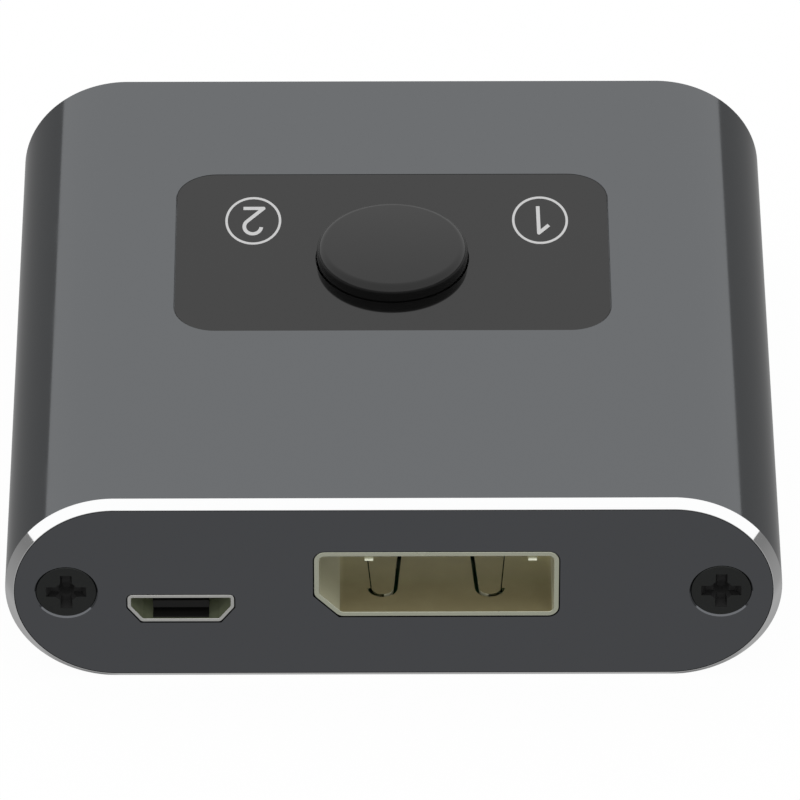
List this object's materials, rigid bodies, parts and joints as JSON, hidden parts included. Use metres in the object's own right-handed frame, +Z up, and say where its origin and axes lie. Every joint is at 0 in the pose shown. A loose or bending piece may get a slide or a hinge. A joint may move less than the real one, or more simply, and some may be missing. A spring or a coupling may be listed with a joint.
{
  "type": "video switch box",
  "caption": "Flat aluminium video switch box with rounded sides, screwed end plates, video and power sockets, and a round push button on a recessed black panel.",
  "frame": {"origin": "bottom centre of the body, on the surface that it stands on", "axes": "+X to the right seen from the output side, +Y from the output side to the input side, +Z up"},
  "size_m": [0.054, 0.0522, 0.0166],
  "materials": {
    "housing": "fine satin grey anodised",
    "end_plate": "satin dark grey anodised",
    "screw": "black oxide",
    "panel": "gloss black",
    "button": "gloss black",
    "moulding": "moulded black",
    "tinned_metal": "tin plated",
    "board": "solder mask",
    "port_shell": "nickel plated sheet",
    "power_shell": "nickel plated sheet",
    "contact": "gold plated",
    "chip": "moulded black",
    "capacitor": "ceramic",
    "lamp": "milky resin",
    "light_pipe": "clear moulded"
  },
  "bodies": {
    "case": {"housing_shell": "housing", "front_plate": "end_plate", "rear_plate": "end_plate", "front_screws": "screw", "rear_screws": "screw", "control_panel": "panel", "switch_base": "moulding", "switch_terminals": "tinned_metal", "switch_dome": "tinned_metal", "switch_cover": "tinned_metal", "main_board": "board", "output_port_shell": "port_shell", "output_port_insulator": "moulding", "output_port_contacts": "contact", "input_1_port_shell": "port_shell", "input_1_port_insulator": "moulding", "input_1_port_contacts": "contact", "input_2_port_shell": "port_shell", "input_2_port_insulator": "moulding", "input_2_port_contacts": "contact", "power_port_shell": "power_shell", "power_port_insulator": "moulding", "power_port_contacts": "contact", "switching_chip": "chip", "chip_pads": "tinned_metal", "voltage_regulator": "chip", "crystal": "tinned_metal", "capacitors": "capacitor", "resistors": "chip", "indicator_lamp_1": "lamp", "indicator_lamp_2": "lamp", "light_pipe_1": "light_pipe", "light_pipe_2": "light_pipe"},
    "button": {"button_cap": "button", "switch_plunger": "moulding"}
  },
  "joints": [
    {"name": "button_press", "type": "slide", "parent": "case", "child": "button", "axis": [0, 0, -1], "range_m": [0, 0.0003], "stiffness_N_per_m": 4000, "deforming": ["switch_dome"]}
  ]
}
